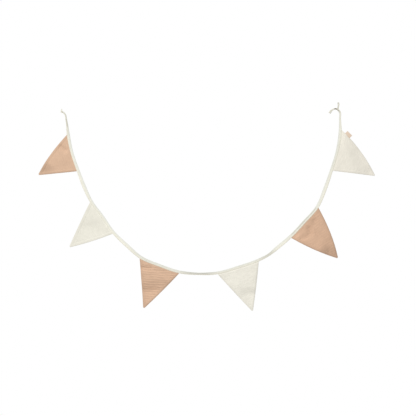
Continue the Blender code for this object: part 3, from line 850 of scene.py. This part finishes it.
def knot(name, middle, half_sizes, slant, strand, shade, finish):
    """A tight overhand knot of one flattened strand."""
    t = np.linspace(0, 2 * math.pi, KNOT_RINGS, endpoint=False)
    angle = np.linspace(0, 2 * math.pi, KNOT_SIDES, endpoint=False)
    lobes = np.stack((np.sin(t) + 2 * np.sin(2 * t), -np.sin(3 * t), np.cos(t) - 2 * np.cos(2 * t)), axis=1)
    line = lobes / (3.0, 1.0, 3.0) * np.array(half_sizes)
    turn = math.radians(slant)
    spin = np.array(((math.cos(turn), 0, math.sin(turn)), (0, 1, 0), (-math.sin(turn), 0, math.cos(turn))))
    line = line @ spin.T
    along = unit(np.roll(line, -1, axis=0) - np.roll(line, 1, axis=0))
    wide = unit(np.cross(along, unit(line * KNOT_OUTWARD)))
    thick = np.cross(wide, along)
    crease = np.ones((KNOT_RINGS, KNOT_SIDES))
    for height, number, twist in KNOT_CREASES:
        crease += height * np.cos(number * angle[None, :] + twist * t[:, None])
    height, number, start = KNOT_SWELL
    swell = 1.0 + height * np.sin(number * t + start)[:, None]
    ring = (wide[:, None, :] * (np.cos(angle) * strand[0] * crease * swell)[..., None]
            + thick[:, None, :] * (np.sin(angle) * strand[1] * crease * swell)[..., None])
    points = (line[:, None, :] + ring + np.array(middle)).reshape(-1, 3)
    faces = [(a, d, c, b) for a, b, c, d in tube_faces(KNOT_RINGS, KNOT_SIDES, closed=True)]
    around = np.repeat(angle[None, :] * strand[0], KNOT_RINGS, axis=0)
    length = np.repeat((t * half_sizes[0] * KNOT_STRETCH)[:, None], KNOT_SIDES, axis=1)
    cloth = np.stack((around, length, np.zeros_like(around)), axis=-1).reshape(-1, 3)
    # painted shade in the creases, painted light on the ridges, and the knot's own painted shade
    relief = (np.clip((crease - 1.0) * KNOT_SHADE, *KNOT_SHADE_LIMITS) + shade).ravel()
    return cloth_object(name, points, faces, cloth, relief, finish)


# The pennants

class Pennant:
    """The surface of one pennant, read by its shares across and down."""

    def __init__(self, route, row):
        self.number, first, last, tip_x, tip_z, self.tip_back, *self.bows, self.colour = row
        self.name = f"pennant_{self.number}"
        self.route = route
        self.start = route.place(first)
        self.end = route.place(last)
        self.tip = np.array((tip_x, 0.0, tip_z))
        edge, _ = route.open_edge(np.array((self.start, self.end)))
        self.corners = edge * (1.0, 0.0, 1.0)
        self.along = unit(self.corners[1] - self.corners[0])
        inward = unit(self.corners.mean(axis=0) - self.tip)
        blunt = self.tip + inward * TIP_ROUND
        self.tip_ends = np.array((blunt - self.along * TIP_WIDTH / 2, blunt + self.along * TIP_WIDTH / 2))
        self.outs = []
        self.slants = []
        for corner, end, way in zip(self.corners, self.tip_ends, (-1, 1)):
            side = unit(end - corner)
            out = np.array((side[2], 0.0, -side[0]))
            self.outs.append(out if out @ self.along * way > 0 else -out)
            self.slants.append(abs(out @ self.along))
        self.folds = [fold[1:] for fold in FOLDS + PUCKERS if fold[0] == self.number]

    def side(self, which, down):
        """Points on the first or last free side."""
        down = np.asarray(down)[..., None]
        straight = self.corners[which] * (1 - down) + self.tip_ends[which] * down
        return straight + self.outs[which] * (self.bows[which] * 4 * down * (1 - down))

    def top(self, across):
        """Points on the tape's open edge above the pennant, and the ways it faces there."""
        distances = self.start + (self.end - self.start) * across
        edge, way = self.route.open_edge(distances.ravel())
        return edge.reshape(*across.shape, 3), way.reshape(*across.shape, 3)

    def outline(self, across, down):
        """Points of the pennant before their depth, in the XZ plane."""
        share = across[..., None]
        straight = self.side(0, down) * (1 - share) + self.side(1, down) * share
        edge = self.top(across)[0] * (1.0, 0.0, 1.0)
        chord = self.corners[0] * (1 - share) + self.corners[1] * share
        return straight + (edge - chord) * (1 - down)[..., None]

    def hang(self, across, down):
        """How far back the cloth hangs, straight out of the tape and then curved to its tip."""
        edge, way = self.top(across)
        height = np.linalg.norm(edge * (1.0, 0.0, 1.0) - self.tip, axis=-1)
        leaving = height * way[..., 1] / np.hypot(way[..., 0], way[..., 2])
        arriving = self.tip_back - edge[..., 1]
        start, start_slope, end_slope = curve_parts(down)
        return (start * edge[..., 1] + (1 - start) * self.tip_back
                + start_slope * leaving + end_slope * arriving)

    def fold_depth(self, spots, down):
        """The sum of the pennant's folds at each point."""
        depth = np.zeros(spots.shape[:-1])
        for from_across, from_down, to_across, to_down, above, below, fold in self.folds:
            ends = self.outline(np.array((from_across, to_across)), np.array((from_down, to_down)))
            line = ends[1] - ends[0]
            share = np.clip((spots - ends[0]) @ line / (line @ line), 0.0, 1.0)
            offset = spots - ends[0] - line * share[..., None]
            apart = np.linalg.norm(offset, axis=-1)
            upward = offset[..., 2] / np.maximum(apart, 1e-9)
            reach = (above + below) / 2 + (above - below) / 2 * upward
            depth += fold * (1.0 - smooth(apart / reach))
        return depth * smooth(down / FOLD_START)

    def surface(self, across, down):
        """Points on the middle of the cloth."""
        spots = self.outline(across, down)
        spots[..., 1] = self.hang(across, down) + self.fold_depth(spots, down)
        return spots

    def shares_across(self, down):
        """The shares across a row's columns, closer at its two edges, and the row's width."""
        width = np.linalg.norm(self.side(1, down) - self.side(0, down))
        offsets = np.array(EDGE_OFFSETS) * min(1.0, EDGE_SHARE * width / EDGE_OFFSETS[-1])
        first = offsets / width
        middle = np.linspace(first[-1], 1 - first[-1], MIDDLE_COLUMNS + 2)[1:-1]
        return np.concatenate((first, middle, 1 - first[::-1])), width

    def grid_rows(self, height):
        """Rows from tape to tip: points, share down, shares across and width."""
        rows = []
        share, width = self.shares_across(0.0)
        edge, way = self.top(share)
        for part in TOP_ROWS:
            reach = -INSERT * part
            rows.append((edge + way * reach, reach / height, share, width))
        for down in np.linspace(0.0, 1.0, round(height / ROW_STEP)):
            share, width = self.shares_across(down)
            rows.append((self.surface(share, np.full(len(share), down)), down, share, width))
        tip_way = unit(self.tip - self.tip_ends.mean(axis=0))
        share, width = self.shares_across(1.0)
        for k in range(1, TIP_ROWS + 1):
            reach = k / TIP_ROWS
            narrow = math.sqrt(1.0 - (1.0 - TIP_END_SHARE**2) * reach**2)
            squeezed = 0.5 + (share - 0.5) * narrow
            points = self.surface(squeezed, np.ones(len(share))) + tip_way * TIP_ROUND * reach
            rows.append((points, 1.0 + TIP_ROUND * reach / height, share, width * narrow))
        return rows


class Cloth:
    """A pennant's grid, and where its points lie on the flat cloth."""

    def __init__(self, pennant):
        # u goes across the cloth, v down it, and free is how far the nearest free edge is
        height = np.linalg.norm(pennant.corners.mean(axis=0) - pennant.tip)
        rows = pennant.grid_rows(height)
        self.grid, downs, shares, widths = (np.array(part) for part in zip(*rows))
        widths = widths[:, None]
        self.v = np.repeat((downs * height)[:, None], shares.shape[1], axis=1)
        self.u = (shares - 0.5) * widths
        self.from_sides = (shares * widths * pennant.slants[0], (1 - shares) * widths * pennant.slants[1])
        self.free = np.minimum(np.minimum(*self.from_sides), height + TIP_ROUND - self.v)
        self.seam_part = smooth(self.v / SEAM_START)
        in_from_seam = smooth((self.free - SEAM_WIDTH * CALM_FROM) / CALM_SEAM)
        self.calm = (smooth(self.v / CALM_TOP) * (CALM_SHARE + (1 - CALM_SHARE) * in_from_seam)
                     * smooth(self.free / CALM_EDGE))

    def curl(self, number):
        """How far the free sides curl back."""
        turns = [side_curl * (1.0 - np.clip(from_side / CURL_LENGTH, 0, 1)) ** 2
                 for side_curl, from_side in zip(CURLS[number], self.from_sides)]
        return (turns[0] + turns[1]) * smooth(self.v / CURL_START)

    def half_thickness(self):
        """Half the thickness: full in the seams, then a groove, and thin inside."""
        in_seam = (1.0 - smooth((self.free - SEAM_WIDTH) / SEAM_STEP)) * self.seam_part
        below_tape = smooth((self.v - TOP_START) / TOP_EASE)
        half = PENNANT_MIDDLE / 2 * (INSERT_SHARE + (1 - INSERT_SHARE) * below_tape)
        half += (PENNANT_HEM - PENNANT_MIDDLE) / 2 * in_seam
        half += SEAM_PUFF * np.sin(math.pi * np.clip(self.free / SEAM_WIDTH, 0, 1)) * in_seam
        groove = bell(self.free - SEAM_WIDTH - SEAM_LINE_OUT, SEAM_LINE_REACH)
        return half - SEAM_LINE * groove * self.seam_part

    def ribs(self, number, seed):
        """The ribs, which run through both layers."""
        height, pitch, turn, _ = RIBS[number]
        down = self.v * math.cos(math.radians(turn)) + self.u * math.sin(math.radians(turn))
        down += RIB_BEND * ripple(self.u, self.v, "rib bend", seed)
        strength = RIB_STRENGTH + RIB_STRENGTH * ripple(self.u, self.v, "rib strength", seed)
        return height * np.cos(2 * math.pi * down / pitch) * strength * self.calm

    def crinkle(self, seed):
        """The crinkle of one layer, with the puckers at the tape and the seams."""
        u, v, free = self.u, self.v, self.free
        bent = v + WOBBLE * ripple(u, v, "wobble", seed)
        relief = CRINKLE_HEIGHT * ripple(u, bent, "crinkle", seed)
        relief += FINE_HEIGHT * ripple(u, bent, "fine crinkle", seed)
        relief *= self.calm
        near_tape = np.exp(-np.maximum(v, 0) / PUCKER_LENGTH) * smooth(v / PUCKER_START)
        near_seam = bell(free - SEAM_WIDTH, SIDE_REACH) * self.seam_part
        relief += PUCKER_HEIGHT * ripple(u, v, "top pucker", seed) * near_tape * smooth(free / PUCKER_ENDS)
        relief += SIDE_HEIGHT * ripple(v, free, "side pucker", seed) * near_seam
        return relief


def joined(front, back):
    """The front's values, then the back's inside the shared rim."""
    size = front.shape[2:]
    return np.concatenate((front.reshape(-1, *size), back[1:-1, 1:-1].reshape(-1, *size)))


def two_faces(rows, columns):
    """The faces of a grid's front and back, which share its rim."""
    front = np.arange(rows * columns).reshape(rows, columns)
    back = front.copy()
    back[1:-1, 1:-1] = rows * columns + np.arange((rows - 2) * (columns - 2)).reshape(rows - 2, -1)
    faces = []
    for index, order in ((front, 1), (back, -1)):
        quads = np.stack((index[:-1, :-1], index[1:, :-1], index[1:, 1:], index[:-1, 1:]), axis=-1)
        faces += [tuple(quad[::order]) for quad in quads.reshape(-1, 4).tolist()]
    return faces


def turns_away(points):
    """True if a grid's faces, taken down and then across, face back."""
    corner, below, beside = points[5, 20], points[15, 20], points[5, 30]
    return np.cross(below - corner, beside - corner)[1] > 0


def pennant_mesh(pennant, finish):
    """The cloth of one pennant: two faces that meet in rounded edges."""
    cloth = Cloth(pennant)
    grid = cloth.grid
    seed = PENNANT_SEED * pennant.number
    normal = unit(np.cross(np.gradient(grid, axis=1), np.gradient(grid, axis=0)))
    normal *= np.sign(-normal[..., 1:2])
    grid[..., 1] += cloth.curl(pennant.number)
    half = cloth.half_thickness()
    from_rim = np.minimum(cloth.free, cloth.v + INSERT)
    rounding = np.sqrt(1.0 - (1.0 - np.clip(from_rim / RIM, 0, 1)) ** 2)
    ribs = cloth.ribs(pennant.number, seed)
    # painted light just below the tape, over its shadow line
    painted_light_by_tape = TAPE_PAINTED_LIGHT[pennant.colour] * bell(np.maximum(cloth.v, 0), PAINTED_LIGHT_REACH)
    points, shades = [], []
    for sign, layer in ((1.0, 0.0), (-1.0, BACK_SEED)):
        relief = cloth.crinkle(seed + layer)
        out = sign * (half + relief) * rounding + ribs
        points.append(grid + normal * out[..., None])
        # painted shade in the hollows and painted light on the ridges and beside the tape
        shades.append(np.clip((relief + sign * ribs) / SHADE_HEIGHT, -1.0, 1.0) + painted_light_by_tape)
    for edge in ((0,), (-1,), (slice(None), 0), (slice(None), -1)):
        points[0][edge] = grid[edge]
    faces = two_faces(*cloth.u.shape)
    if turns_away(points[0]):
        faces = [face[::-1] for face in faces]
    place = np.stack((cloth.u, cloth.v, np.maximum(cloth.free, 0.0)), axis=-1)
    obj = cloth_object(pennant.name + "_cloth", joined(*points), faces, joined(place, place),
                       joined(*shades), finish)
    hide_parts(pennant.name)
    base = length_of(pennant.top(np.linspace(0, 1, TOP_SAMPLES))[0])
    length = length_of(pennant.surface(np.full(DROP_SAMPLES, 0.5), np.linspace(0, 1, DROP_SAMPLES)))


def make_label(pennant, finish):
    """The bare label: a folded ribbon with its ends in the seam."""
    drop = np.linalg.norm(pennant.tip_ends[1] - pennant.corners[1])
    reach = LABEL_WIDTH / 2 / drop
    along = unit(pennant.side(1, LABEL_DOWN + reach) - pennant.side(1, LABEL_DOWN - reach))
    out = np.array((along[2], 0.0, -along[0]))
    out *= np.sign(out @ pennant.outs[1])
    depth = pennant.surface(np.array((1.0,)), np.array((LABEL_DOWN,)))[0, 1]
    outward = LABEL_CLEARANCE + LABEL_LENGTH / 2 - LABEL_IN_SEAM / 2
    centre = pennant.side(1, LABEL_DOWN) + out * outward + np.array((0, depth, 0))
    steps = np.linspace(-LABEL_WIDTH / 2, LABEL_WIDTH / 2, LABEL_RINGS)
    curl = LABEL_CURL * np.cos(steps / LABEL_WIDTH * math.pi * LABEL_CURL_SPAN)
    middles = centre + along * steps[:, None] + np.array((0, -1.0, 0)) * curl[:, None]
    frames = (middles, np.tile(-out, (LABEL_RINGS, 1)), np.tile((0.0, 1.0, 0.0), (LABEL_RINGS, 1)),
              np.full(LABEL_RINGS, LABEL_LENGTH + LABEL_IN_SEAM))
    obj = folded_strip("label_ribbon", frames, np.full(LABEL_RINGS, LABEL_GAP / 2), steps, LABEL_LEAF,
                       finish, 0.0, LABEL_WAVE)
    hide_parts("label")


# Camera, light and floor

def make_camera():
    """The photo's view, square on and from far away."""
    data = bpy.data.cameras.new("camera")
    data.sensor_width = SENSOR
    data.lens = SENSOR * CAMERA_AWAY / VIEW_WIDTH
    data.clip_end = CAMERA_REACH
    camera = placed("camera", data)
    camera.location = (VIEW_MIDDLE[0], -CAMERA_AWAY, VIEW_MIDDLE[1])
    camera.rotation_euler = (math.pi / 2, 0.0, 0.0)
    bpy.context.scene.camera = camera


def area_light(name, location, size, energy):
    """A large soft light aimed at the middle of the bunting."""
    data = bpy.data.lights.new(name, "AREA")
    data.shape = "SQUARE"
    data.size = size
    data.energy = energy
    light = placed(name, data)
    light.location = location
    light.visible_camera = False
    way = Vector((VIEW_MIDDLE[0], 0.0, VIEW_MIDDLE[1])) - light.location
    light.rotation_euler = way.to_track_quat("-Z", "Y").to_euler()


def make_world():
    """A white surround that lights the cloth less brightly than it looks."""
    world = bpy.data.worlds.new("surround")
    world.use_nodes = True
    bpy.context.scene.world = world
    tree = world.node_tree
    tree.nodes.clear()
    path = tree.nodes.new("ShaderNodeLightPath")
    mix = tree.nodes.new("ShaderNodeMixShader")
    output = tree.nodes.new("ShaderNodeOutputWorld")
    tree.links.new(path.outputs["Is Camera Ray"], mix.inputs[0])
    tree.links.new(mix.outputs[0], output.inputs["Surface"])
    for strength, socket in ((SURROUND_LIGHT, mix.inputs[1]), (1.0, mix.inputs[2])):
        background = tree.nodes.new("ShaderNodeBackground")
        background.inputs["Color"].default_value = (1.0, 1.0, 1.0, 1.0)
        background.inputs["Strength"].default_value = strength
        tree.links.new(background.outputs[0], socket)


def make_floor():
    """A pale floor below the bunting, which fades into the surround."""
    mesh = bpy.data.meshes.new("floor")
    reach = FLOOR_END
    mesh.from_pydata([(-reach, -reach, 0), (reach, -reach, 0), (reach, reach, 0), (-reach, reach, 0)],
                     [], [(0, 1, 2, 3)])
    nodes = Nodes("floor", "floor")
    spots = nodes.add("ShaderNodeTexCoord").outputs["Object"]
    nodes.paint(FLOOR_COLOUR, nodes.range(nodes.noise(spots, FLOOR_MOTTLE), 0.3, 0.7, 0.97, 1.0))
    x, y, _ = nodes.parts(spots)
    away = nodes.math("POWER", nodes.math("MULTIPLY_ADD", x, x, nodes.math("MULTIPLY", y, y)), 0.5)
    nodes.put(nodes.shader.inputs["Alpha"], nodes.range(away, FLOOR_CLEAR, FLOOR_END, 1.0, 0.0))
    mesh.materials.append(nodes.material)
    floor = placed("floor", mesh)
    floor.location = FLOOR_MIDDLE


def main():
    """Build the scene."""
    bpy.context.scene.view_settings.view_transform = "Standard"
    make_camera()
    make_world()
    for light in LIGHTS:
        area_light(*light)
    make_floor()

    route = Route(TAPE)
    spans = [(route.place(row[1]), route.place(row[2])) for row in PENNANTS]
    cotton = tape_cotton()
    shades = [(route.place(row[0]), row[6]) for row in TAPE if row[6] is not None]
    creases = [(route.place(start), route.place(end), *crease) for start, end, *crease in CREASES]
    tape = strip_on_route("tape_cloth", route, spans, shades, cotton, TAPE_PINCH, creases)
    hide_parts("tape")
    ends = [strip_on_route(name, Route(rows), (), end_shades, cotton)
            for name, (rows, end_shades) in ENDS.items()]
    knots = [knot(*row, cotton) for row in KNOTS]
    thread = stitches(route, spans, twisted_thread())

    for row in PENNANTS:
        pennant = Pennant(route, row)
        pennant_mesh(pennant, crinkled_cotton(pennant.number, pennant.colour))
    make_label(pennant, ribbon())


main()
